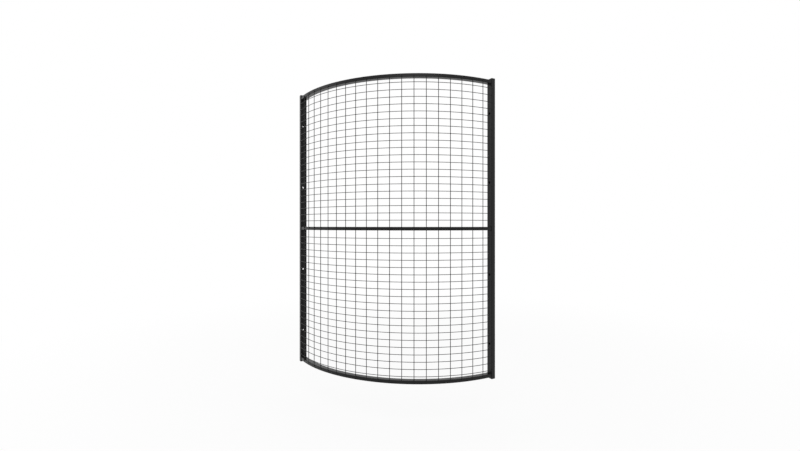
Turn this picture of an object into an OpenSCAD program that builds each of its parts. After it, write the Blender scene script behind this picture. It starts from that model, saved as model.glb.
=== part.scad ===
// Quarter-round mesh panel for a machine guard.
//
// Two upright tubes stand at the ends of a bend, and three bent rails join them.
// Two fields of welded wire mesh lie against the outside of the tubes: their
// upright wires on the rails, their level wires outermost and on the uprights.
// The uprights are drilled through, so that bolts can hold them against posts.
//
// The origin is the middle of the flat face that the left upright turns to its
// post. Z is up, +Y points out of that face, and the bend runs from the left
// upright at -X of its centre round to the right upright at -Y of it.

/* [Panel] */
// Height of the upright tubes, to which the heads of the end plugs add
panel_h = 1300; // [1000:50:2200]
// Radius of the bend, to the outer faces of the uprights
bend_r = 650; // [500:10:1200]
// Angle of the bend, from one upright to the other
bend_angle = 90; // [60:5:120]

/* [Uprights] */
// Depth of an upright tube, across the panel
upright_depth = 30; // [25:1:50]
// Width of an upright tube, along the panel
upright_w = 20; // [15:1:40]
// Wall of an upright tube
upright_wall = 1.5; // [1:0.25:3]
// Outside corner radius of an upright tube
upright_corner_r = 2.5; // [1:0.5:4]
// How far an upright reaches past the end of the bend, under the level wires
upright_reach = 4; // [1:0.5:10]

/* [Bolt holes] */
// Diameter of the holes through both walls of an upright
hole_d = 11; // [6:0.5:14]
// Distance from an upright's end to its first hole
hole_from_end = 150; // [40:5:250]
// Distance from there to the next hole
hole_pitch = 300; // [50:10:500]

/* [Rails] */
// Height of a rail tube
rail_h = 15; // [13:1:30]
// Depth of a rail tube, across the panel
rail_depth = 25; // [12:1:28]
// Wall of a rail tube
rail_wall = 1.5; // [1:0.25:2.5]
// Outside corner radius of a rail tube
rail_corner_r = 2; // [1:0.25:3]
// Distance from an upright's end to the nearest rail
rail_inset = 6.5; // [3:0.5:60]

/* [Mesh] */
// Diameter of the upright wires
upright_wire_d = 3; // [2:0.25:5]
// Diameter of the level wires
level_wire_d = 2.5; // [2:0.25:5]
// Spacing of the upright wires along the bend, which rounds to a whole number of them
upright_wire_pitch = 51; // [25:1:100]
// Spacing of the level wires
level_wire_pitch = 30; // [20:1:100]
// How deep two crossing wires sink into each other where they are welded
weld_sink = 0.4; // [0.2:0.1:1]
// How far the upright wires lap over a rail
wire_lap = 6; // [3:0.5:6]
// Least height between a rail and the last level wire of a field
rail_gap = 2; // [1:0.5:10]
// From the middle rail up to the first level wire of the upper field
upper_first_gap = 28; // [5:0.1:40]
// From the middle rail down to the first level wire of the lower field
lower_first_gap = 32.9; // [5:0.1:40]
// Sides of a wire
wire_sides = 8; // [6, 8, 12]

/* [End plugs] */
// Thickness of a plug's head
plug_head = 1.5; // [1:0.5:5]
// Slope round the edge of a plug's head
plug_chamfer = 0.8; // [0.2:0.1:0.9]
// Length of a plug inside its tube
plug_l = 14; // [8:1:30]
// Wall of the part of a plug that is inside its tube
plug_wall = 1.5; // [1:0.25:2.5]
// Number of ribs round a plug inside its tube
plug_ribs = 3; // [2:1:5]
// How far a rib stands out, which is also its thickness
plug_rib = 1; // [0.5:0.1:1.2]
// Gap between a plug's ribs and the tube around them
plug_clearance = 0.15; // [0.05:0.05:0.5]

/* [Hidden] */

// Powder coat on the steel, and the plugs' plastic
COAT = [0.05, 0.05, 0.055];
PLASTIC = [0.08, 0.08, 0.08];

// Axis of the bend, seen from the middle of the left upright's post face
BEND_CENTRE = [bend_r - upright_depth / 2, upright_reach - upright_w, 0];

// The level wires touch the uprights, and the upright wires touch the rails
LEVEL_WIRE_R = bend_r + level_wire_d / 2;
UPRIGHT_WIRE_R = LEVEL_WIRE_R + weld_sink - (level_wire_d + upright_wire_d) / 2;
RAIL_FACE_R = UPRIGHT_WIRE_R - upright_wire_d / 2;

// Middle of the top rail, and its edge that faces the mesh
TOP_RAIL_Z = panel_h / 2 - rail_inset - rail_h / 2;
FIELD_TOP_Z = TOP_RAIL_Z - rail_h / 2;

// The upright wires divide the bend evenly
BEND_L = bend_r * bend_angle * PI / 180;
UPRIGHT_WIRES = round(BEND_L / upright_wire_pitch) - 1;
WIRE_ANGLE = bend_angle / (UPRIGHT_WIRES + 1);

// Highest place for the middle of a level wire
LAST_ROW_Z = FIELD_TOP_Z - rail_gap - level_wire_d / 2;

// Each field of mesh is built as strips side by side
STRIPS = 5;

// Sides of a full circle, and the least radius of a corner
FINE = 48;
LEAST_R = 0.4;

function level_wires(first_z) =
    floor((LAST_ROW_Z - first_z) / level_wire_pitch) + 1;

// Number of upright wires to the left of a strip's right-hand edge
function wires_before(strip) = round(strip * UPRIGHT_WIRES / STRIPS);

// Angle of a strip's right-hand edge, midway between two upright wires
function strip_edge(strip) =
    strip == 0 ? 0 :
    strip == STRIPS ? bend_angle :
    (wires_before(strip) + 0.5) * WIRE_ANGLE;

module rounded_rect(size, r) {
    square([size.x - 2 * r, size.y], center = true);
    square([size.x, size.y - 2 * r], center = true);
    for (x = [-1, 1], y = [-1, 1])
        translate([x * (size.x / 2 - r), y * (size.y / 2 - r)])
            circle(r = r, $fn = FINE);
}

// Section of a rectangular tube
module tube_section(size, wall, r) {
    difference() {
        rounded_rect(size, r);
        rounded_rect(size - 2 * [wall, wall], max(r - wall, LEAST_R));
    }
}

// Section of a wire, with a flat side towards each axis
module wire_section(d) {
    rotate(180 / wire_sides)
        circle(d = d / cos(180 / wire_sides), $fn = wire_sides);
}

// Places a shape made for the left end of the bend at one of its ends
module at_end(right) {
    translate(BEND_CENTRE)
        if (right) mirror([sin(bend_angle / 2), -cos(bend_angle / 2), 0]) children();
        else children();
}

// Middle of an upright's section, at the left end of the bend
module at_upright(right) {
    at_end(right)
        translate([upright_depth / 2 - bend_r, upright_w / 2 - upright_reach, 0])
            children();
}

// Carries a section round the bend, from one angle to another
module bend(from, to) {
    translate(BEND_CENTRE)
        rotate([0, 0, 180 + from])
            rotate_extrude(angle = to - from, $fn = 180)
                children();
}

// An upright: a rectangular tube with bolt holes through both walls
module upright(right) {
    color(COAT)
        at_upright(right)
            difference() {
                translate([0, 0, -panel_h / 2])
                    linear_extrude(panel_h)
                        tube_section([upright_depth, upright_w], upright_wall, upright_corner_r);
                for (side = [-1, 1], hole = [0, 1])
                    translate([0, 0, side * (panel_h / 2 - hole_from_end - hole * hole_pitch)])
                        rotate([90, 0, 0])
                            cylinder(h = 2 * upright_w, d = hole_d, center = true, $fn = FINE);
            }
}

// A plug's head, as large as the tube's end and chamfered round its edge
module plug_cap() {
    outline = [upright_depth, upright_w];
    hull() {
        linear_extrude(plug_head - plug_chamfer)
            rounded_rect(outline, upright_corner_r);
        linear_extrude(plug_head)
            rounded_rect(outline - 2 * [plug_chamfer, plug_chamfer],
                         max(upright_corner_r - plug_chamfer, LEAST_R));
    }
}

// The part of a plug inside the tube: a hollow skirt with ribs round it
module plug_skirt() {
    bore = [upright_depth, upright_w] - 2 * [upright_wall, upright_wall];
    ribs = bore - 2 * [plug_clearance, plug_clearance];
    rib_r = max(upright_corner_r - upright_wall - plug_clearance, LEAST_R);
    translate([0, 0, -plug_l])
        linear_extrude(plug_l)
            tube_section(ribs - 2 * [plug_rib, plug_rib], plug_wall, LEAST_R);
    for (rib = [1 : plug_ribs])
        translate([0, 0, -rib * plug_l / (plug_ribs + 0.5)])
            linear_extrude(plug_rib)
                tube_section(ribs, plug_rib + plug_wall / 2, rib_r);
}

// A plug, with its head on the end of the tube
module plug(right, top) {
    color(PLASTIC)
        at_upright(right)
            mirror([0, 0, top ? 0 : 1])
                translate([0, 0, panel_h / 2]) {
                    plug_cap();
                    plug_skirt();
                }
}

// A rail: a rectangular tube bent on its flat, with its middle at height z, and
// cut off square against the faces of both uprights
module rail(z) {
    color(COAT)
        difference() {
            bend(0, bend_angle)
                translate([RAIL_FACE_R - rail_depth / 2, z])
                    tube_section([rail_depth, rail_h], rail_wall, rail_corner_r);
            for (right = [false, true])
                at_end(right)
                    translate([-bend_r - upright_depth, -upright_reach, z - rail_h])
                        cube([2 * upright_depth, 2 * upright_reach, 2 * rail_h]);
        }
}

// One strip of a mesh field that starts at the middle rail and runs up.
// first_z is the height of its first level wire.
module mesh_strip(strip, first_z) {
    from = strip_edge(strip - 1);
    to = strip_edge(strip);
    foot_z = rail_h / 2 - wire_lap;
    head_z = FIELD_TOP_Z + wire_lap;
    for (row = [0 : level_wires(first_z) - 1])
        bend(from, to)
            translate([LEVEL_WIRE_R, first_z + row * level_wire_pitch])
                wire_section(level_wire_d);
    for (wire = [wires_before(strip - 1) + 1 : wires_before(strip)])
        translate(BEND_CENTRE)
            rotate([0, 0, wire * WIRE_ANGLE])
                translate([-UPRIGHT_WIRE_R, 0, foot_z])
                    linear_extrude(head_z - foot_z)
                        wire_section(upright_wire_d);
}

module upper_mesh(strip) {
    color(COAT)
        mesh_strip(strip, rail_h / 2 + upper_first_gap);
}

module lower_mesh(strip) {
    color(COAT)
        mirror([0, 0, 1])
            mesh_strip(strip, rail_h / 2 + lower_first_gap);
}

upright(false);  // left_upright
upright(true);  // right_upright
rail(TOP_RAIL_Z);  // top_rail
rail(0);  // middle_rail
rail(-TOP_RAIL_Z);  // bottom_rail
upper_mesh(1);  // upper_mesh_1
upper_mesh(2);  // upper_mesh_2
upper_mesh(3);  // upper_mesh_3
upper_mesh(4);  // upper_mesh_4
upper_mesh(5);  // upper_mesh_5
lower_mesh(1);  // lower_mesh_1
lower_mesh(2);  // lower_mesh_2
lower_mesh(3);  // lower_mesh_3
lower_mesh(4);  // lower_mesh_4
lower_mesh(5);  // lower_mesh_5
plug(false, true);  // left_top_plug
plug(false, false);  // left_bottom_plug
plug(true, true);  // right_top_plug
plug(true, false);  // right_bottom_plug
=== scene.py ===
"""Looks of a quarter-round wire mesh panel for a machine guard.

The packed model gives the sizes. This file adds the coated tubes with the rounded
rims of their bolt holes, the round wires with their welds, the weld beads and
tacks of the frame, and the moulded end plugs. Lengths are metres.
"""

import math

import bpy
import numpy as np
from bpy.props import FloatProperty, FloatVectorProperty, IntProperty, PointerProperty
from mathutils import Matrix, Vector


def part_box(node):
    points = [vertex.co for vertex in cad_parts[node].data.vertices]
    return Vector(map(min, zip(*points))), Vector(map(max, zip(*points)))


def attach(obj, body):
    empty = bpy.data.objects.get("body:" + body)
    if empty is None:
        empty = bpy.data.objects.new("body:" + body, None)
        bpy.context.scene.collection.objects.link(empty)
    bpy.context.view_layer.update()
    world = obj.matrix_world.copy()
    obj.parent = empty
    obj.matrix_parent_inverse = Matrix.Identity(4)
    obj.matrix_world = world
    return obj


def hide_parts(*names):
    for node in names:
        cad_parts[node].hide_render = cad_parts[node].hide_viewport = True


bl_info = {
    "name": "Curved Guard Panel",
    "version": (1, 0, 0),
    "blender": (4, 5, 0),
    "location": "3D View > Sidebar > Guard Panel",
    "description": "Dresses a quarter-round wire mesh guard panel",
    "category": "Object",
}

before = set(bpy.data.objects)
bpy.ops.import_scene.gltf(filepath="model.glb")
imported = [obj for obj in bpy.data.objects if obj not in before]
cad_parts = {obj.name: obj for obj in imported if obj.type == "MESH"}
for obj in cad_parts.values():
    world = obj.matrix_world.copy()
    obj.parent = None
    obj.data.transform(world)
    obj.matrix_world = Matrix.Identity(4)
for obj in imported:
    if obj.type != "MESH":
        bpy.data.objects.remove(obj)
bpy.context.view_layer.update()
BODY = "root"

LEFT_LOW, LEFT_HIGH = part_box("left_upright")
RIGHT_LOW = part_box("right_upright")[0]
MESH_LOW, MESH_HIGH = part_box("upper_mesh_1")
PLUG_LOW, PLUG_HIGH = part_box("left_top_plug")

UPRIGHTS = ["left_upright", "right_upright"]
UPRIGHT_SIZE = (LEFT_HIGH.x - LEFT_LOW.x, LEFT_HIGH.y - LEFT_LOW.y)
RAILS = ["top_rail", "middle_rail", "bottom_rail"]
STRIPS = range(1, 6)
QUARTER = math.pi / 2
SEED = 41


# ---------------------------------------------------------------- sizes and looks


class PanelSizes(bpy.types.PropertyGroup):
    """Sizes of the tubes and their holes that the packed model's boxes don't give"""

    upright_reach: FloatProperty(
        name="Upright reach",
        description="How far an upright reaches past the end of the bend, under the level wires",
        default=0.004,
        unit="LENGTH",
    )
    upright_corner: FloatProperty(
        name="Upright corner",
        description="Outside corner radius of an upright",
        default=0.0025,
        unit="LENGTH",
    )
    upright_wall: FloatProperty(
        name="Upright wall",
        description="Wall of an upright tube",
        default=0.0015,
        unit="LENGTH",
    )
    rail_depth: FloatProperty(
        name="Rail depth",
        description="Depth of a rail tube, across the panel",
        default=0.025,
        unit="LENGTH",
    )
    rail_corner: FloatProperty(
        name="Rail corner",
        description="Outside corner radius of a rail",
        default=0.002,
        unit="LENGTH",
    )
    hole_d: FloatProperty(
        name="Hole diameter",
        description="Diameter of the bolt holes in the uprights",
        default=0.011,
        unit="LENGTH",
    )
    hole_outer: FloatProperty(
        name="Outer holes",
        description="Height of the outer bolt holes above and below the panel's middle",
        default=0.500,
        unit="LENGTH",
    )
    hole_inner: FloatProperty(
        name="Inner holes",
        description="Height of the inner bolt holes above and below the panel's middle",
        default=0.200,
        unit="LENGTH",
    )
    rim: FloatProperty(
        name="Hole rim",
        description="Radius of the coat's rounded edge round a bolt hole",
        default=0.0004,
        unit="LENGTH",
    )


class MeshSizes(bpy.types.PropertyGroup):
    """Sizes of the welded wire mesh"""

    upright_wire_d: FloatProperty(
        name="Upright wire",
        description="Diameter of the upright wires",
        default=0.003,
        unit="LENGTH",
    )
    level_wire_d: FloatProperty(
        name="Level wire",
        description="Diameter of the level wires",
        default=0.0025,
        unit="LENGTH",
    )
    upright_wires: IntProperty(
        name="Upright wires",
        description="Number of upright wires, which divide the bend evenly",
        default=19,
    )
    level_wires: IntProperty(
        name="Level wires",
        description="Number of level wires in one field",
        default=20,
    )
    level_pitch: FloatProperty(
        name="Level pitch",
        description="Spacing of the level wires",
        default=0.030,
        unit="LENGTH",
    )
    upper_first: FloatProperty(
        name="Upper first wire",
        description="Height of the upper field's first level wire above the panel's middle",
        default=0.0355,
        unit="LENGTH",
    )
    lower_first: FloatProperty(
        name="Lower first wire",
        description="Depth of the lower field's first level wire below the panel's middle",
        default=0.0404,
        unit="LENGTH",
    )
    sink: FloatProperty(
        name="Weld sink",
        description="How deep two crossing wires sink into each other",
        default=0.0004,
        unit="LENGTH",
    )
    collar: FloatProperty(
        name="Weld collar",
        description="How far the metal swells beside a weld between two wires",
        default=0.00035,
        unit="LENGTH",
    )


class FrameWeldSizes(bpy.types.PropertyGroup):
    """Sizes of the welds on the frame"""

    bead: FloatProperty(
        name="Bead leg",
        description="Leg of the weld bead between a rail and an upright",
        default=0.0024,
        unit="LENGTH",
    )
    ripple_pitch: FloatProperty(
        name="Ripple pitch",
        description="Spacing of the ripples along a weld bead",
        default=0.0016,
        unit="LENGTH",
    )
    bead_inside: FloatProperty(
        name="Inner bead leg",
        description="Leg of the same bead on the rail's side inside the bend",
        default=0.0017,
        unit="LENGTH",
    )
    tack_length: FloatProperty(
        name="Tack length",
        description="Half length of the tack weld that holds a wire to a tube, along the wire",
        default=0.0027,
        unit="LENGTH",
    )
    tack_width: FloatProperty(
        name="Tack width",
        description="Half width of a tack weld, across the wire",
        default=0.0026,
        unit="LENGTH",
    )
    tack_height: FloatProperty(
        name="Tack height",
        description="How far a tack weld stands out of the tube",
        default=0.0011,
        unit="LENGTH",
    )
    end_tack_reach: FloatProperty(
        name="End tack reach",
        description="From a level wire's end to the middle of the tack that holds it",
        default=0.0004,
        unit="LENGTH",
    )
    end_tack_length: FloatProperty(
        name="End tack length",
        description="Half length of that tack, along the wire",
        default=0.0018,
        unit="LENGTH",
    )


class PlugSizes(bpy.types.PropertyGroup):
    """Sizes of the end plugs; each inset is measured from the outside of the tube"""

    edge: FloatProperty(
        name="Head edge",
        description="Radius of the rounded edge of a plug's head",
        default=0.0007,
        unit="LENGTH",
    )
    dome: FloatProperty(
        name="Head dome",
        description="How much higher the middle of a plug's head is than its rounded edge",
        default=0.00025,
        unit="LENGTH",
    )
    skirt_inset: FloatProperty(
        name="Skirt inset",
        description="Inset of the part of a plug that is inside its tube",
        default=0.00265,
        unit="LENGTH",
    )
    skirt_wall: FloatProperty(
        name="Skirt wall",
        description="Wall of that part",
        default=0.0015,
        unit="LENGTH",
    )
    rib_inset: FloatProperty(
        name="Rib inset",
        description="Inset of the ribs round it",
        default=0.00165,
        unit="LENGTH",
    )
    rib: FloatProperty(
        name="Rib thickness",
        description="Thickness of a rib",
        default=0.001,
        unit="LENGTH",
    )
    ribs: IntProperty(
        name="Ribs",
        description="Number of ribs round a plug",
        default=3,
    )


class CoatLooks(bpy.types.PropertyGroup):
    """Colours of the finishes"""

    tube_colour: FloatVectorProperty(
        name="Tube coat",
        description="Colour of the powder coat on the tubes",
        subtype="COLOR",
        size=3,
        default=(0.0030, 0.0030, 0.0032),
    )
    wire_colour: FloatVectorProperty(
        name="Wire coat",
        description="Colour of the powder coat on the wires",
        subtype="COLOR",
        size=3,
        default=(0.0080, 0.0080, 0.0082),
    )
    plug_colour: FloatVectorProperty(
        name="Plug plastic",
        description="Colour of the end plugs",
        subtype="COLOR",
        size=3,
        default=(0.010, 0.010, 0.010),
    )
    floor_colour: FloatVectorProperty(
        name="Floor",
        description="Colour of the floor",
        subtype="COLOR",
        size=3,
        default=(0.90, 0.90, 0.90),
    )


class StageSettings(bpy.types.PropertyGroup):
    """Camera, floor and lamps"""

    lens: FloatProperty(
        name="Lens",
        description="Focal length of the camera in millimetres, on a 36 mm sensor",
        default=19.071,
    )
    camera_turn: FloatProperty(
        name="Camera turn",
        description="Turn of the camera about the vertical, from looking along +Y",
        default=math.radians(-29.812),
        unit="ROTATION",
    )
    camera_back: FloatProperty(
        name="Camera distance",
        description="Distance from the camera to the axis of the bend, along the view",
        default=2.3973,
        unit="LENGTH",
    )
    camera_side: FloatProperty(
        name="Camera side",
        description="How far the axis of the bend lies to the right of the view's middle",
        default=0.0769,
        unit="LENGTH",
    )
    camera_height: FloatProperty(
        name="Camera height",
        description="Height of the camera above the panel's middle",
        default=0.01235,
        unit="LENGTH",
    )
    camera_shift: FloatProperty(
        name="Camera shift",
        description="Upward shift of the lens, as a share of the frame's width",
        default=0.00029,
    )
    floor_drop: FloatProperty(
        name="Floor drop",
        description="How far the floor lies below the panel",
        default=0.148,
        unit="LENGTH",
    )
    floor_white: FloatProperty(
        name="Floor white",
        description="Share of plain white in the floor under the panel, as the camera sees it",
        default=0.85,
        subtype="FACTOR",
    )
    floor_reach: FloatProperty(
        name="Floor reach",
        description="Distance from the bend's axis at which the floor has turned white",
        default=3.0,
        unit="LENGTH",
    )
    key_power: FloatProperty(
        name="Key power",
        description="Power of the large lamp above the outside of the bend",
        default=20,
        unit="POWER",
    )
    fill_power: FloatProperty(
        name="Fill power",
        description="Power of the lamp to the left of the panel",
        default=10,
        unit="POWER",
    )
    sky: FloatProperty(
        name="Room light",
        description="Strength of the light that comes from all round",
        default=0.85,
    )


GROUPS = {
    "guard_panel": PanelSizes,
    "guard_mesh": MeshSizes,
    "guard_welds": FrameWeldSizes,
    "guard_plugs": PlugSizes,
    "guard_coat": CoatLooks,
    "guard_stage": StageSettings,
}


# ---------------------------------------------------------------- shapes


def bend_axis(context):
    """Where the axis of the bend stands: one reach outside each upright's mesh side."""
    reach = context.scene.guard_panel.upright_reach
    return RIGHT_LOW.x + reach, LEFT_LOW.y + reach


def bend_radius(context):
    """From the axis of the bend to the outer face of the left upright."""
    return bend_axis(context)[0] - LEFT_LOW.x


def upright_middle(context):
    """Distances of an upright's middle line from the axis of the bend and its end plane."""
    past_end = context.scene.guard_panel.upright_reach - UPRIGHT_SIZE[1] / 2
    return bend_radius(context) - UPRIGHT_SIZE[0] / 2, past_end


def level_wire_radius(context):
    """Radius of the level wires' middle lines, which lie on the uprights' outer faces."""
    return bend_radius(context) + context.scene.guard_mesh.level_wire_d / 2


def upright_wire_radius(context):
    """Radius at which the upright wires stand, sunk a little into the level wires."""
    sizes = context.scene.guard_mesh
    apart = (sizes.level_wire_d + sizes.upright_wire_d) / 2 - sizes.sink
    return level_wire_radius(context) - apart


def rail_face_radius(context):
    """Radius of the rails' outer faces, which the upright wires touch."""
    return upright_wire_radius(context) - context.scene.guard_mesh.upright_wire_d / 2


def wire_angles(context):
    """Angles of the upright wires, which divide the bend evenly."""
    count = context.scene.guard_mesh.upright_wires
    return QUARTER * np.arange(1, count + 1) / (count + 1)


def on_bend(context, radius, angle, height):
    """Points round the bend: the axis, less the radius times (cosine, sine) of the angle.

    The angle runs from the left upright to the right one. The three inputs are
    arrays that broadcast to one grid.
    """
    centre_x, centre_y = bend_axis(context)
    radius, angle, height = np.broadcast_arrays(radius, angle, height)
    x = centre_x - radius * np.cos(angle)
    y = centre_y - radius * np.sin(angle)
    return np.stack([x, y, height], axis=-1)


def at_end(context, right, radial, along, height):
    """Points at one end of the bend, from their distances from its axis and end plane.

    Radial is the distance from the axis, and along the distance past the end
    plane, into the bend. The right end is the mirror image of the left one.
    """
    centre_x, centre_y = bend_axis(context)
    radial, along, height = np.broadcast_arrays(radial, along, height)
    if right:
        return np.stack([centre_x - along, centre_y - radial, height], axis=-1)
    return np.stack([centre_x - radial, centre_y - along, height], axis=-1)


ARC_STEPS = 6
CORNER_POINTS = ARC_STEPS + 3
FLAT_EDGE = 0.0002
LEAST_CORNER = 0.0003


def rounded_outline(size, corner, inset=0.0):
    """Points once round a rounded rectangle, for each inset from its full outline.

    Each corner is an arc: its centre plus the radius times (cosine, sine) of an
    angle that runs through a quarter turn. One more point on each side of the arc,
    slid along the flat by FLAT_EDGE, keeps the flats flat. The inset makes the
    radius smaller, down to LEAST_CORNER, and then moves the arc's centre inwards.
    """
    inset = np.atleast_1d(inset)[:, None]
    radius = np.maximum(corner - inset, LEAST_CORNER)
    step = np.arange(CORNER_POINTS) - 1
    on_arc = np.clip(step, 0, ARC_STEPS)
    first = np.arange(4)[:, None] * QUARTER
    angle = (first + on_arc / ARC_STEPS * QUARTER).ravel()
    middle = np.repeat(first.ravel() + QUARTER / 2, CORNER_POINTS)
    slide = np.tile(step - on_arc, 4) * FLAT_EDGE
    reach_u = size[0] / 2 - inset - radius
    reach_v = size[1] / 2 - inset - radius
    u = np.sign(np.cos(middle)) * reach_u + radius * np.cos(angle) - slide * np.sin(angle)
    v = np.sign(np.sin(middle)) * reach_v + radius * np.sin(angle) + slide * np.cos(angle)
    return u, v


def ring_angles(count):
    """Evenly spaced angles once round a ring."""
    return np.linspace(0, 2 * math.pi, count, endpoint=False)


def closed_tube(grid):
    """Vertices, quads and triangles of a tube whose two ends close in a point.

    The grid holds rings of points. Neighbouring rings are joined by quads, and
    the first and last ring by a fan of triangles to their middle.
    """
    rings, around = grid.shape[:2]
    ring = np.arange(rings - 1)[:, None] * around
    step = np.arange(around)[None, :]
    after = (step + 1) % around
    beyond = ring + around
    quads = np.stack([ring + step, ring + after, beyond + after, beyond + step], axis=-1)
    first, last = rings * around, rings * around + 1
    step, after = step[0], after[0]
    end = (rings - 1) * around
    start_fan = np.stack([np.full(around, first), after, step], axis=-1)
    end_fan = np.stack([np.full(around, last), end + step, end + after], axis=-1)
    points = np.concatenate([grid.reshape(-1, 3), grid[:1].mean(axis=1), grid[-1:].mean(axis=1)])
    return points, quads.reshape(-1, 4), np.concatenate([start_fan, end_fan])


def near_marks(marks, offsets):
    """Places on a line: every mark with every offset from it, in order."""
    return np.sort((np.asarray(marks)[:, None] + np.asarray(offsets)[None, :]).ravel())


def swelling(places, marks, width):
    """A smooth hump at each mark: the sum of bell curves of that width."""
    gap = (places[:, None] - np.asarray(marks)[None, :]) / width
    return np.exp(-gap * gap).sum(axis=1)


CHAMFER = 0.25


def sheared(edge, radius):
    """Share of a wire's full radius near its end: a chamfer a quarter radius long."""
    return np.clip(1 - CHAMFER + edge / radius, 1 - CHAMFER, 1)


def outward(points, quads, tris):
    """Turns a closed surface's faces outwards, by the sign of the volume they enclose."""
    corners = np.concatenate([quads[:, [0, 1, 2]], quads[:, [0, 2, 3]], tris])
    a, b, c = (points[corners[:, i]] for i in range(3))
    volume = np.einsum("ij,ij->", a - points.mean(axis=0), np.cross(b - a, c - a))
    if volume < 0:
        quads, tris = quads[:, ::-1], tris[:, ::-1]
    return points, quads, tris


def make_piece(name, surfaces, material, nodes=()):
    """Joins closed surfaces into one smooth mesh object that rides on the panel."""
    surfaces = [outward(*surface) for surface in surfaces]
    starts = np.cumsum([0] + [len(points) for points, _, _ in surfaces[:-1]])
    points = np.concatenate([points for points, _, _ in surfaces])
    quads = np.concatenate([quads + start for (_, quads, _), start in zip(surfaces, starts)])
    tris = np.concatenate([tris + start for (_, _, tris), start in zip(surfaces, starts)])
    corners = np.concatenate([quads.ravel(), tris.ravel()])
    totals = np.concatenate([np.full(len(quads), 4), np.full(len(tris), 3)])
    mesh = bpy.data.meshes.new(name)
    mesh.vertices.add(len(points))
    mesh.vertices.foreach_set("co", points.astype(np.float32).ravel())
    mesh.loops.add(len(corners))
    mesh.loops.foreach_set("vertex_index", corners.astype(np.int32))
    mesh.polygons.add(len(totals))
    mesh.polygons.foreach_set("loop_start", (np.cumsum(totals) - totals).astype(np.int32))
    mesh.polygons.foreach_set("use_smooth", np.ones(len(totals), bool))
    mesh.update(calc_edges=True)
    mesh.validate()
    mesh.materials.append(material)
    piece = bpy.data.objects.new(name, mesh)
    bpy.context.scene.collection.objects.link(piece)
    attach(piece, BODY)
    if nodes:
        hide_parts(*nodes)


# ---------------------------------------------------------------- finishes


def math_node(tree, operation, *inputs):
    """Result of a math node; each input is a number or a socket to link."""
    node = tree.nodes.new("ShaderNodeMath")
    node.operation = operation
    for socket, value in zip(node.inputs, inputs):
        if isinstance(value, bpy.types.NodeSocket):
            tree.links.new(value, socket)
        else:
            socket.default_value = value
    return node.outputs[0]


def coat_grain_group():
    """Node group: the tone, gloss and surface of a powder coat.

    Fine noise is the grain of the powder, and coarse noise the slow waves in
    which it sets. Both make the height, and the coarse one shifts the tone and
    the roughness a little.
    """
    group = bpy.data.node_groups.get("Coat Grain")
    if group:
        return group
    group = bpy.data.node_groups.new("Coat Grain", "ShaderNodeTree")
    for name, default in (
        ("Colour", (0.01, 0.01, 0.01, 1)),
        ("Tone Change", 0.15),
        ("Roughness", 0.45),
        ("Roughness Change", 0.08),
        ("Grains per Metre", 1400.0),
        ("Waves per Metre", 260.0),
        ("Wave Share", 0.5),
    ):
        kind = "NodeSocketColor" if name == "Colour" else "NodeSocketFloat"
        socket = group.interface.new_socket(name=name, in_out="INPUT", socket_type=kind)
        socket.default_value = default
    for name in ("Colour", "Roughness", "Height"):
        kind = "NodeSocketColor" if name == "Colour" else "NodeSocketFloat"
        group.interface.new_socket(name=name, in_out="OUTPUT", socket_type=kind)
    nodes, links = group.nodes, group.links
    given = nodes.new("NodeGroupInput")
    result = nodes.new("NodeGroupOutput")
    place = nodes.new("ShaderNodeTexCoord")
    grain = nodes.new("ShaderNodeTexNoise")
    grain.inputs["Detail"].default_value = 3.0
    waves = nodes.new("ShaderNodeTexNoise")
    waves.inputs["Detail"].default_value = 2.0
    for noise, scale in ((grain, "Grains per Metre"), (waves, "Waves per Metre")):
        links.new(place.outputs["Object"], noise.inputs["Vector"])
        links.new(given.outputs[scale], noise.inputs["Scale"])
    signed = math_node(group, "SUBTRACT", waves.outputs["Fac"], 0.5)
    gain = math_node(group, "MULTIPLY_ADD", signed, given.outputs["Tone Change"], 1.0)
    tone = nodes.new("ShaderNodeVectorMath")
    tone.operation = "SCALE"
    links.new(given.outputs["Colour"], tone.inputs[0])
    links.new(gain, tone.inputs["Scale"])
    links.new(tone.outputs[0], result.inputs["Colour"])
    change, base = given.outputs["Roughness Change"], given.outputs["Roughness"]
    rough = math_node(group, "MULTIPLY_ADD", signed, change, base)
    links.new(rough, result.inputs["Roughness"])
    height = nodes.new("ShaderNodeMix")
    height.data_type = "FLOAT"
    links.new(given.outputs["Wave Share"], height.inputs["Factor"])
    links.new(grain.outputs["Fac"], height.inputs["A"])
    links.new(waves.outputs["Fac"], height.inputs["B"])
    links.new(height.outputs["Result"], result.inputs["Height"])
    return group


def grained_material(name, colour, values, bump, specular):
    """A material with the coat grain group in front of a plain Principled shader.

    The values are inputs of the group, and bump is the height of the grain in metres.
    """
    material = bpy.data.materials.get(name)
    if material:
        return material
    material = bpy.data.materials.new(name)
    material.use_nodes = True
    nodes, links = material.node_tree.nodes, material.node_tree.links
    shader = nodes["Principled BSDF"]
    shader.inputs["Specular IOR Level"].default_value = specular
    grain = nodes.new("ShaderNodeGroup")
    grain.node_tree = coat_grain_group()
    grain.inputs["Colour"].default_value = (*colour, 1)
    for key, value in values.items():
        grain.inputs[key].default_value = value
    relief = nodes.new("ShaderNodeBump")
    relief.inputs["Distance"].default_value = bump
    relief.inputs["Strength"].default_value = 1.0
    links.new(grain.outputs["Colour"], shader.inputs["Base Color"])
    links.new(grain.outputs["Roughness"], shader.inputs["Roughness"])
    links.new(grain.outputs["Height"], relief.inputs["Height"])
    links.new(relief.outputs["Normal"], shader.inputs["Normal"])
    return material


def tube_coat(context):
    """Satin black powder coat on the tubes."""
    return grained_material(
        "tube_coat",
        context.scene.guard_coat.tube_colour,
        {"Roughness": 0.32, "Roughness Change": 0.14},
        bump=0.00009,
        specular=0.24,
    )


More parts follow.
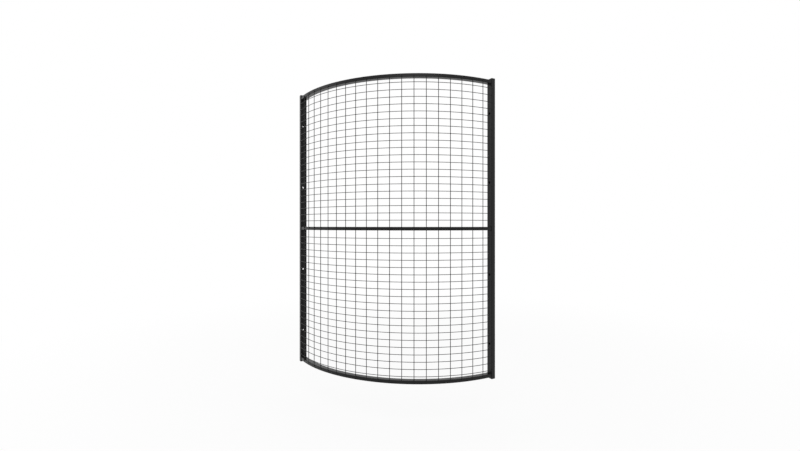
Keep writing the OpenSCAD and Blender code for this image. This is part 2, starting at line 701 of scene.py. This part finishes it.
def wire_coat(context):
    """The same coat on the wires, where it pulls thin and shines less."""
    return grained_material(
        "wire_coat",
        context.scene.guard_coat.wire_colour,
        {"Roughness": 0.42, "Waves per Metre": 400.0},
        bump=0.00004,
        specular=0.20,
    )


def weld_coat(context):
    """The coat over weld metal, where it lies uneven."""
    return grained_material(
        "weld_coat",
        context.scene.guard_coat.tube_colour,
        {"Roughness": 0.46, "Waves per Metre": 700.0, "Wave Share": 0.7},
        bump=0.00005,
        specular=0.22,
    )


def plug_plastic(context):
    """Moulded black plastic with a fine spark-eroded texture."""
    return grained_material(
        "plug_plastic",
        context.scene.guard_coat.plug_colour,
        {"Roughness": 0.60, "Grains per Metre": 2200.0, "Wave Share": 0.15},
        bump=0.00004,
        specular=0.30,
    )


# ---------------------------------------------------------------- operators


class GUARD_OT_add_uprights(bpy.types.Operator):
    """Adds the upright tubes, with the rounded rims of their bolt holes"""

    bl_idname = "guard_panel.add_uprights"
    bl_label = "Add Uprights"

    CELLS = 12  # along each edge of the square that is left out round a hole
    END_ROWS = np.array([0.0, 0.00015, 0.0004])  # distance from a tube's end
    END_INSET = np.array([0.00015, 0.0, 0.0])  # inset of the outline there
    RIM_RINGS = 4  # round the coat's edge at each mouth of a hole
    FLAT_RING = 0.00015  # width of the flat ring outside that edge

    def execute(self, context):
        for right, node in enumerate(UPRIGHTS):
            surface = self.drilled_tube(context, right)
            make_piece(f"{node}_tube", [surface], tube_coat(context), [node])
        return {"FINISHED"}

    def drilled_tube(self, context, right):
        """A rectangular tube whose two skins join at its ends and through its holes.

        Each skin is a grid, the rounded outline carried up through rows of heights.
        A square of cells is left out round each hole. Rings fill it: the square's own
        edge, then circles whose radius and depth follow a quarter circle into the
        hole, the bore, and the same again out to the inner skin's square.
        """
        panel, cells = context.scene.guard_panel, self.CELLS
        mid_radial, mid_along = upright_middle(context)

        # Columns: the outline's points, and cells on the two flats that are drilled
        fine = np.arange(1, cells) / cells
        flats = np.array([CORNER_POINTS - 1, 3 * CORNER_POINTS - 1])
        corners = 4 * CORNER_POINTS
        at = np.sort(np.concatenate([np.arange(corners), (flats[:, None] + fine).ravel()]))
        columns = [flats[0], flats[1] + cells - 1]
        before = np.floor(at).astype(int)
        after, share = (before + 1) % corners, at - before

        # Rows: a few at each end, and a square of cells at each hole
        half = UPRIGHT_SIZE[0] / 2 - panel.upright_corner - FLAT_EDGE
        holes = np.array([panel.hole_inner, panel.hole_outer])
        holes = np.concatenate([-holes[::-1], holes])
        squares = (holes[:, None] + np.linspace(-half, half, cells + 1)).ravel()
        ends, end_inset = self.END_ROWS, self.END_INSET
        rows = np.concatenate([LEFT_LOW.z + ends, squares, LEFT_HIGH.z - ends[::-1]])
        inset = np.concatenate([end_inset, np.zeros(len(squares)), end_inset[::-1]])
        starts = len(ends) + (cells + 1) * np.arange(len(holes))

        skins = []
        for depth in (inset, np.full(len(rows), panel.upright_wall)):
            outline = rounded_outline(UPRIGHT_SIZE, panel.upright_corner, depth)
            u, v = (side[:, before] * (1 - share) + side[:, after] * share for side in outline)
            skins.append(at_end(context, right, mid_radial + u, mid_along + v, rows[:, None]))
        high, wide = skins[0].shape[:2]
        inner = high * wide
        keep = np.ones((high - 1, wide), bool)
        for row in starts:
            for column in columns:
                keep[row:row + cells, column:column + cells] = False
        here = np.arange(high - 1)[:, None] * wide + np.arange(wide)
        beside = np.arange(high - 1)[:, None] * wide + (np.arange(wide) + 1) % wide
        skin = np.stack([here, beside, beside + wide, here + wide], axis=-1)[keep]
        end = np.stack([beside[0], here[0], here[0] + inner, beside[0] + inner], axis=-1)
        quads = [skin, skin[:, ::-1] + inner, end, end[:, [1, 0, 3, 2]] + inner - wide]
        points = [skin_points.reshape(-1, 3) for skin_points in skins]

        # Rings start at the square's lower corner, and so does the walk along its edges
        radius, depth = self.hole_profile(panel)
        angle = ring_angles(4 * cells) - 1.5 * QUARTER
        run, none, full = np.arange(cells), np.zeros(cells, int), np.full(cells, cells)
        walk_up = np.concatenate([none, run, full, cells - run])
        walk_on = np.concatenate([run, full, cells - run, none])
        used = 2 * inner
        for row, hole in zip(starts, holes):
            for column, side in zip(columns, (1, -1)):
                radial = mid_radial - side * radius[:, None] * np.cos(angle)
                along = mid_along + side * (UPRIGHT_SIZE[1] / 2 - depth[:, None])
                height = hole + radius[:, None] * np.sin(angle)
                points.append(at_end(context, right, radial, along, height).reshape(-1, 3))
                edge = (row + walk_up) * wide + column + walk_on
                rings = used + np.arange(radial.size).reshape(len(radius), -1)
                order = np.vstack([edge, rings, edge + inner])
                on = np.roll(order, -1, axis=1)
                filled = np.stack([order[:-1], on[:-1], on[1:], order[1:]], axis=-1)
                quads.append(filled.reshape(-1, 4))
                used += radial.size
        return np.concatenate(points), np.concatenate(quads), np.zeros((0, 3), int)

    def hole_profile(self, panel):
        """Radius and depth of each ring from the outer face, through the bore, to the inner."""
        turn = np.linspace(0, QUARTER, self.RIM_RINGS)
        radius = panel.hole_d / 2 + panel.rim * (1 - np.sin(turn))
        depth = panel.rim * (1 - np.cos(turn))
        flat = radius[0] + self.FLAT_RING
        radii = np.concatenate([[flat], radius, radius[::-1], [flat]])
        wall = panel.upright_wall
        return radii, np.concatenate([[0], depth, wall - depth[::-1], [wall]])


class GUARD_OT_add_rails(bpy.types.Operator):
    """Adds the bent rail tubes"""

    bl_idname = "guard_panel.add_rails"
    bl_label = "Add Rails"

    BENDS = 120

    def execute(self, context):
        for node in RAILS:
            low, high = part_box(node)
            surface = closed_tube(self.bent_tube(context, low.z, high.z))
            make_piece(f"{node}_tube", [surface], tube_coat(context), [node])
        return {"FINISHED"}

    def bent_tube(self, context, low, high):
        """The rounded outline carried round the bend, from one upright's face to the other's.

        Each point starts and stops at the angle whose sine is the upright's reach over
        the point's own radius, so that both ends are flat.
        """
        panel = context.scene.guard_panel
        u, v = rounded_outline((panel.rail_depth, high - low), panel.rail_corner)
        radius = rail_face_radius(context) - panel.rail_depth / 2 + u
        start = np.arcsin(panel.upright_reach / radius)
        share = np.linspace(0, 1, self.BENDS + 1)
        near = FLAT_EDGE / bend_radius(context)
        share = np.sort(np.concatenate([share, [near, 1 - near]]))[:, None]
        angle = start + share * (QUARTER - 2 * start)
        return on_bend(context, radius, angle, (low + high) / 2 + v)


class GUARD_OT_add_frame_welds(bpy.types.Operator):
    """Adds the weld beads between the rails and the uprights"""

    bl_idname = "guard_panel.add_frame_welds"
    bl_label = "Add Frame Welds"

    RINGS = 170
    AROUND = 12
    END_RUN = 0.002  # length over which a bead shrinks towards its end
    LEAST_END = 0.1  # share of its leg that is left there
    ROOT = 0.00015  # how deep the corner of the section lies in both tubes
    ROOT_SHARE = 0.3  # share of the leg in the part of the section inside the metal
    ROUNDNESS = 0.4  # of the section: 0 is a straight slope, 1 a circle
    RIPPLE = 0.06  # share by which a ripple swells the leg
    RIPPLE_BOW = 0.35  # bow of a ripple, as a share of the ripples' spacing

    def execute(self, context):
        surfaces = []
        for node in RAILS:
            low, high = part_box(node)
            for right in (0, 1):
                surfaces.append(closed_tube(self.bead(context, right, low.z, high.z)))
        make_piece("frame_welds", surfaces, weld_coat(context))
        return {"FINISHED"}

    def bead(self, context, right, low, high):
        """A bead round three sides of a rail's end: over it, down its inner side, under it.

        The path follows the rail's rounded outline. The bead's section is a quarter
        disc between a straight slope and a circle: its radius is the leg times
        (1 - c) / (cosine + sine) + c, with c the roundness, and less inside the metal.
        The leg goes from one value to the other with the squared sine of the path's
        direction, shrinks like a circle at both ends, and swells with each ripple.
        """
        panel, welds = context.scene.guard_panel, context.scene.guard_welds
        corner = panel.rail_corner
        flat_u = panel.rail_depth / 2 - corner
        flat_v = (high - low) / 2 - corner
        arc = corner * QUARTER
        knots = np.cumsum([0, 2 * flat_u, arc, 2 * flat_v, arc, 2 * flat_u])
        path = np.linspace(0, knots[-1], self.RINGS)
        centre_u = np.interp(path, knots, np.array([1, -1, -1, -1, -1, 1]) * flat_u)
        centre_v = np.interp(path, knots, np.array([1, 1, 1, -1, -1, -1]) * flat_v)
        angle = np.interp(path, knots, np.array([1, 1, 2, 2, 3, 3]) * QUARTER)
        turn = ring_angles(self.AROUND)
        outer = np.arange(self.AROUND) <= self.AROUND // 4
        span = np.abs(np.cos(turn)) + np.abs(np.sin(turn))
        section = (1 - self.ROUNDNESS) / span + self.ROUNDNESS
        section = np.where(outer, section, self.ROOT_SHARE)
        leg = welds.bead_inside + (welds.bead - welds.bead_inside) * np.sin(angle) ** 2
        to_end = np.clip(np.minimum(path, knots[-1] - path) / self.END_RUN, 0, 1)
        leg = leg * np.maximum(np.sqrt(1 - (1 - to_end) ** 2), self.LEAST_END)
        phase = path[:, None] / welds.ripple_pitch + self.RIPPLE_BOW * np.sin(2 * turn) * outer
        ripple = 1 + self.RIPPLE * np.cos(2 * math.pi * phase) * outer
        size = leg[:, None] * section * ripple
        off_rail = corner - self.ROOT + size * np.cos(turn)
        off_face = size * np.sin(turn) - self.ROOT
        middle = rail_face_radius(context) - panel.rail_depth / 2
        radial = middle + centre_u[:, None] + off_rail * np.cos(angle)[:, None]
        height = (low + high) / 2 + centre_v[:, None] + off_rail * np.sin(angle)[:, None]
        return at_end(context, right, radial, panel.upright_reach + off_face, height)


class GUARD_OT_add_tacks(bpy.types.Operator):
    """Adds the tack welds that hold the wires' ends to the tubes"""

    bl_idname = "guard_panel.add_tacks"
    bl_label = "Add Wire Tacks"

    RINGS = 9
    AROUND = 14
    UNEVEN = (0.85, 1.15)  # least and most share of a tack's spread and height

    def execute(self, context):
        welds, sizes = context.scene.guard_welds, context.scene.guard_mesh
        top_rail, middle_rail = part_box("top_rail")[0].z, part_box("middle_rail")[1].z
        lap = MESH_HIGH.z - top_rail
        heights = np.array([top_rail + lap / 2, middle_rail - lap / 2])
        rows = sizes.level_pitch * np.arange(sizes.level_wires)
        rows = np.concatenate([sizes.upper_first + rows, -sizes.lower_first - rows])
        middle = welds.end_tack_reach / bend_radius(context)
        places = [
            (rail_face_radius(context), angle, height, welds.tack_width, welds.tack_length)
            for angle in wire_angles(context)
            for height in (*heights, *-heights)
        ] + [
            (bend_radius(context), angle, height, welds.end_tack_length, welds.tack_width)
            for angle in (middle, QUARTER - middle)
            for height in rows
        ]
        scales = np.random.default_rng(SEED).uniform(*self.UNEVEN, (len(places), 2))
        mounds = [self.mound(context, *place, *scale) for place, scale in zip(places, scales)]
        surfaces = [closed_tube(mound) for mound in mounds]
        make_piece("mesh_tacks", surfaces, weld_coat(context))
        return {"FINISHED"}

    def mound(self, context, radius, angle, height, across, up, spread, stand):
        """A mound of weld metal that runs out thin onto the tube, with as much inside it.

        Its point at (polar, turn) lies the height times the cube of the polar angle's
        cosine out of the tube, and the half sizes times its sine, round by the turn,
        along and up the tube.
        """
        polar = np.linspace(0, math.pi, self.RINGS + 2)[1:-1, None]
        turn = ring_angles(self.AROUND)
        out = context.scene.guard_welds.tack_height * stand * np.cos(polar) ** 3
        along = across * spread * np.sin(polar) * np.cos(turn)
        rise = up * spread * np.sin(polar) * np.sin(turn)
        return on_bend(context, radius + out, angle + along / radius, height + rise)


class GUARD_OT_add_plugs(bpy.types.Operator):
    """Adds the moulded plugs in the ends of the uprights"""

    bl_idname = "guard_panel.add_plugs"
    bl_label = "Add End Plugs"

    DOME_RINGS = 7
    EDGE_RINGS = 4
    LOWER_EDGE = ((0, 0.0002), (0.00005, 0.00006), (0.0002, 0))  # insets, heights
    UNDERSIDE = 0.9  # share of the ribs' inset, for a ring under the head
    RIB_LEAN = 0.125  # lean of a rib's sides, as a share of its thickness
    LAST_GAP = 0.5  # from the last rib to the foot, as a share of the ribs' spacing

    def execute(self, context):
        for right, side in enumerate(("left", "right")):
            for top, end in ((1, "top"), (-1, "bottom")):
                surfaces = [closed_tube(self.plug(context, right, top))]
                name, material = f"{side}_{end}", plug_plastic(context)
                make_piece(f"{name}_cap", surfaces, material, [f"{name}_plug"])
        return {"FINISHED"}

    def plug(self, context, right, top):
        """The rounded outline carried through a profile of insets and heights.

        From the middle of the head, at the most inset that leaves the outline some
        width, the profile falls along a shallow dome. It turns a quarter circle round
        the head's edge, runs in under the head, and goes down the ribbed skirt and up
        inside it.
        """
        plugs = context.scene.guard_plugs
        head = PLUG_HIGH.z - LEFT_HIGH.z
        foot = PLUG_LOW.z - LEFT_HIGH.z
        middle = UPRIGHT_SIZE[1] / 2 - LEAST_CORNER - 4 * FLAT_EDGE
        across = np.linspace(1, 0, self.DOME_RINGS)
        fall = plugs.dome * (1 - across) ** 2
        dome = middle * across + plugs.edge * (1 - across), head - fall
        turn = np.linspace(0, QUARTER, self.EDGE_RINGS + 1)[1:]
        edge_height = head - plugs.dome - plugs.edge
        edge = plugs.edge * (1 - np.sin(turn)), edge_height + plugs.edge * np.cos(turn)
        skirt, rib_inset, rib = plugs.skirt_inset, plugs.rib_inset, plugs.rib
        under = np.array([*self.LOWER_EDGE, (self.UNDERSIDE * rib_inset, 0), (skirt, 0)]).T
        tops = foot * np.arange(1, plugs.ribs + 1) / (plugs.ribs + self.LAST_GAP) + rib
        lean = self.RIB_LEAN * rib
        down = np.array([0, lean, rib - lean, rib])
        ribs = (
            np.tile([skirt, rib_inset, rib_inset, skirt], plugs.ribs),
            (tops[:, None] - down).ravel(),
        )
        hollow = skirt + plugs.skirt_wall
        inside = np.array([skirt, hollow, hollow, middle]), np.array([foot, foot, 0, 0])
        inset, rise = (np.concatenate(parts) for parts in zip(dome, edge, under, ribs, inside))
        u, v = rounded_outline(UPRIGHT_SIZE, context.scene.guard_panel.upright_corner, inset)
        mid_radial, mid_along = upright_middle(context)
        end = LEFT_HIGH.z if top > 0 else LEFT_LOW.z
        height = (end + top * rise)[:, None]
        return at_end(context, right, mid_radial + u, mid_along + v, height)


class GUARD_OT_add_mesh(bpy.types.Operator):
    """Adds the two fields of round wire, welded where the wires cross"""

    bl_idname = "guard_panel.add_mesh"
    bl_label = "Add Wire Mesh"

    AROUND = 12
    CROSSING = np.array([-3.4, -2.3, -1.5, 0.0, 1.5, 2.3, 3.4]) / 1000  # rings at a weld
    NEAR_END = np.array([0.0, CHAMFER, 0.9, 2.4])  # rings at an end, in radii from it
    LEVEL_COLLAR = 0.0017  # width of a level wire's swelling at a weld
    UPRIGHT_COLLAR = 0.0015  # the same on an upright wire

    def execute(self, context):
        sizes = context.scene.guard_mesh
        for name, first, up in (("upper", sizes.upper_first, 1), ("lower", sizes.lower_first, -1)):
            rows = first + sizes.level_pitch * np.arange(sizes.level_wires)
            surfaces = self.level_wires(context, rows, up) + self.upright_wires(context, rows, up)
            nodes = [f"{name}_mesh_{strip}" for strip in STRIPS]
            make_piece(f"{name}_wire_mesh", surfaces, wire_coat(context), nodes)
        return {"FINISHED"}

    def swollen(self, context, radius, ends, near_end, marks, width, facing):
        """Places along a wire, and its radius there for each angle round it.

        The radius grows by the weld collar beside each mark, on the side that faces
        the other wire, and shrinks to a small chamfer at the sheared ends.
        """
        start, stop = ends
        middles = (marks[1:] + marks[:-1]) / 2
        near_end = near_end * radius
        along = np.sort(np.concatenate([
            near_marks(marks, self.CROSSING), middles, start + near_end, stop - near_end
        ]))
        collar = context.scene.guard_mesh.collar * swelling(along, marks, width)
        taper = sheared(np.minimum(along - start, stop - along), radius)
        return along, radius * taper[:, None] + collar[:, None] * np.clip(facing, 0, 1)

    def level_wires(self, context, rows, up):
        """Level wires: circles carried round the bend at each row's height.

        A point lies at the wire's radius from its middle line, which ends on the
        uprights. The welds are on the side inside the bend.
        """
        centre_r = level_wire_radius(context)
        turn = ring_angles(self.AROUND)
        along, swell = self.swollen(
            context,
            radius=context.scene.guard_mesh.level_wire_d / 2,
            ends=(0, QUARTER * centre_r),
            near_end=self.NEAR_END,
            marks=wire_angles(context) * centre_r,
            width=self.LEVEL_COLLAR,
            facing=-np.cos(turn),
        )
        out, rise = swell * np.cos(turn), swell * np.sin(turn)
        angle = (along / centre_r)[:, None]
        return [
            closed_tube(on_bend(context, centre_r + out, angle, up * row + rise)) for row in rows
        ]

    def upright_wires(self, context, rows, up):
        """Upright wires: circles carried up a straight line at each wire's angle.

        The welds are on the side outside the bend.
        """
        centre_r = upright_wire_radius(context)
        turn = ring_angles(self.AROUND)
        along, swell = self.swollen(
            context,
            radius=context.scene.guard_mesh.upright_wire_d / 2,
            ends=(MESH_LOW.z, MESH_HIGH.z),
            near_end=self.NEAR_END[:-1],
            marks=rows,
            width=self.UPRIGHT_COLLAR,
            facing=np.cos(turn),
        )
        out, side = swell * np.cos(turn), swell * np.sin(turn)
        surfaces = []
        for angle in wire_angles(context):
            grid = on_bend(context, centre_r + out, angle, (up * along)[:, None])
            grid[..., 0] += side * math.sin(angle)
            grid[..., 1] -= side * math.cos(angle)
            surfaces.append(closed_tube(grid))
        return surfaces


# ---------------------------------------------------------------- stage


def floor_height(context):
    """Height of the floor, which lies some way below the panel."""
    return LEFT_LOW.z - context.scene.guard_stage.floor_drop


def seen_directly(tree):
    """1 for camera, glossy and transmission rays, else 0."""
    rays = tree.nodes.new("ShaderNodeLightPath").outputs
    either = math_node(tree, "MAXIMUM", rays["Is Camera Ray"], rays["Is Glossy Ray"])
    return math_node(tree, "MAXIMUM", either, rays["Is Transmission Ray"])


class GUARD_OT_set_stage(bpy.types.Operator):
    """Adds the floor, the lamps, the room light and the camera"""

    bl_idname = "guard_panel.set_stage"
    bl_label = "Set Stage"

    FLOOR_HALF = 60.0  # half the width of the floor
    MIDDLE = 0.45  # from the axis of the bend to the point the lamps face, in X and in Y
    KEY_WIDTH, KEY_PLACE = 2.4, Vector((-1.2, -3.0, 2.2))
    FILL_WIDTH, FILL_PLACE = 2.0, Vector((-3.0, 1.2, 1.0))

    def execute(self, context):
        self.add_floor(context)
        self.light_room(context)
        self.add_lamps(context)
        self.add_camera(context)
        context.scene.view_settings.view_transform = "Standard"
        return {"FINISHED"}

    def add_floor(self, context):
        height, half = floor_height(context), self.FLOOR_HALF
        corners = [(-half, -half), (half, -half), (half, half), (-half, half)]
        mesh = bpy.data.meshes.new("floor")
        mesh.from_pydata([(x, y, height) for x, y in corners], [], [(0, 1, 2, 3)])
        floor = bpy.data.objects.new("floor", mesh)
        context.scene.collection.objects.link(floor)
        mesh.materials.append(self.floor_material(context))

    def floor_material(self, context):
        """Pale floor that turns white, to what looks at it directly, away from the panel.

        The white share grows smoothly from floor_white under the panel to one at
        floor_reach from it.
        """
        stage = context.scene.guard_stage
        material = bpy.data.materials.new("floor_pale")
        material.use_nodes = True
        tree = material.node_tree
        nodes, links = tree.nodes, tree.links
        shader = nodes["Principled BSDF"]
        shader.inputs["Base Color"].default_value = (*context.scene.guard_coat.floor_colour, 1)
        shader.inputs["Roughness"].default_value = 0.9
        shader.inputs["Specular IOR Level"].default_value = 0.0
        white = nodes.new("ShaderNodeEmission")
        blend = nodes.new("ShaderNodeMixShader")
        place = nodes.new("ShaderNodeTexCoord")
        away = nodes.new("ShaderNodeVectorMath")
        away.operation = "DISTANCE"
        away.inputs[1].default_value = (*bend_axis(context), floor_height(context))
        links.new(place.outputs["Object"], away.inputs[0])
        whiter = nodes.new("ShaderNodeMapRange")
        whiter.interpolation_type = "SMOOTHSTEP"
        whiter.inputs["From Min"].default_value = bend_radius(context)
        whiter.inputs["From Max"].default_value = stage.floor_reach
        whiter.inputs["To Min"].default_value = stage.floor_white
        whiter.inputs["To Max"].default_value = 1.0
        links.new(away.outputs["Value"], whiter.inputs["Value"])
        share = math_node(tree, "MULTIPLY", seen_directly(tree), whiter.outputs["Result"])
        links.new(share, blend.inputs["Fac"])
        links.new(shader.outputs["BSDF"], blend.inputs[1])
        links.new(white.outputs["Emission"], blend.inputs[2])
        links.new(blend.outputs["Shader"], nodes["Material Output"].inputs["Surface"])
        return material

    def light_room(self, context):
        """World: white to what looks at it directly, and a plain level of light."""
        world = bpy.data.worlds.new("room")
        world.use_nodes = True
        nodes, links = world.node_tree.nodes, world.node_tree.links
        back = nodes["Background"]
        back.inputs["Color"].default_value = (1, 1, 1, 1)
        level = nodes.new("ShaderNodeMix")
        level.data_type = "FLOAT"
        level.inputs["A"].default_value = context.scene.guard_stage.sky
        level.inputs["B"].default_value = 1.0
        links.new(seen_directly(world.node_tree), level.inputs["Factor"])
        links.new(level.outputs["Result"], back.inputs["Strength"])
        context.scene.world = world

    def add_lamps(self, context):
        stage = context.scene.guard_stage
        centre_x, centre_y = bend_axis(context)
        middle = Vector((centre_x - self.MIDDLE, centre_y - self.MIDDLE, 0))
        for name, power, width, place in (
            ("key", stage.key_power, self.KEY_WIDTH, self.KEY_PLACE),
            ("fill", stage.fill_power, self.FILL_WIDTH, self.FILL_PLACE),
        ):
            data = bpy.data.lights.new(name, "AREA")
            data.shape = "SQUARE"
            data.size = width
            data.energy = power
            lamp = bpy.data.objects.new(name, data)
            context.scene.collection.objects.link(lamp)
            turn = (middle - place).to_track_quat("-Z", "Y").to_matrix().to_4x4()
            lamp.matrix_world = Matrix.Translation(place) @ turn

    def add_camera(self, context):
        stage = context.scene.guard_stage
        data = bpy.data.cameras.new("camera")
        data.sensor_width = 36.0
        data.lens = stage.lens
        data.shift_y = stage.camera_shift
        data.clip_end = 100.0
        turn = Matrix.Rotation(stage.camera_turn, 4, "Z")
        centre_x, centre_y = bend_axis(context)
        offset = turn @ Vector((stage.camera_side, stage.camera_back, 0))
        place = Vector((centre_x, centre_y, stage.camera_height)) - offset
        camera = bpy.data.objects.new("camera", data)
        context.scene.collection.objects.link(camera)
        camera.matrix_world = Matrix.Translation(place) @ turn @ Matrix.Rotation(QUARTER, 4, "X")
        context.scene.camera = camera


# ---------------------------------------------------------------- sidebar


OPERATORS = [
    GUARD_OT_add_uprights,
    GUARD_OT_add_rails,
    GUARD_OT_add_frame_welds,
    GUARD_OT_add_mesh,
    GUARD_OT_add_tacks,
    GUARD_OT_add_plugs,
    GUARD_OT_set_stage,
]


class GUARD_PT_sidebar(bpy.types.Panel):
    """Sidebar panel with the sizes, the finishes and the pieces"""

    bl_idname = "GUARD_PT_sidebar"
    bl_label = "Guard Panel"
    bl_space_type = "VIEW_3D"
    bl_region_type = "UI"
    bl_category = "Guard Panel"

    def draw(self, context):
        for attribute, group in GROUPS.items():
            box = self.layout.box()
            box.label(text=group.__doc__)
            for name in group.__annotations__:
                box.prop(getattr(context.scene, attribute), name)
        for operator in OPERATORS:
            self.layout.operator(operator.bl_idname)


def register():
    for group in GROUPS.values():
        bpy.utils.register_class(group)
    for attribute, group in GROUPS.items():
        setattr(bpy.types.Scene, attribute, PointerProperty(type=group))
    for cls in [*OPERATORS, GUARD_PT_sidebar]:
        bpy.utils.register_class(cls)


def unregister():
    for cls in [GUARD_PT_sidebar, *reversed(OPERATORS)]:
        bpy.utils.unregister_class(cls)
    for attribute in GROUPS:
        delattr(bpy.types.Scene, attribute)
    for group in reversed(GROUPS.values()):
        bpy.utils.unregister_class(group)


def main():
    register()
    bpy.ops.guard_panel.add_uprights()
    bpy.ops.guard_panel.add_rails()
    bpy.ops.guard_panel.add_frame_welds()
    bpy.ops.guard_panel.add_mesh()
    bpy.ops.guard_panel.add_tacks()
    bpy.ops.guard_panel.add_plugs()
    bpy.ops.guard_panel.set_stage()


if __name__ == "__main__":
    main()
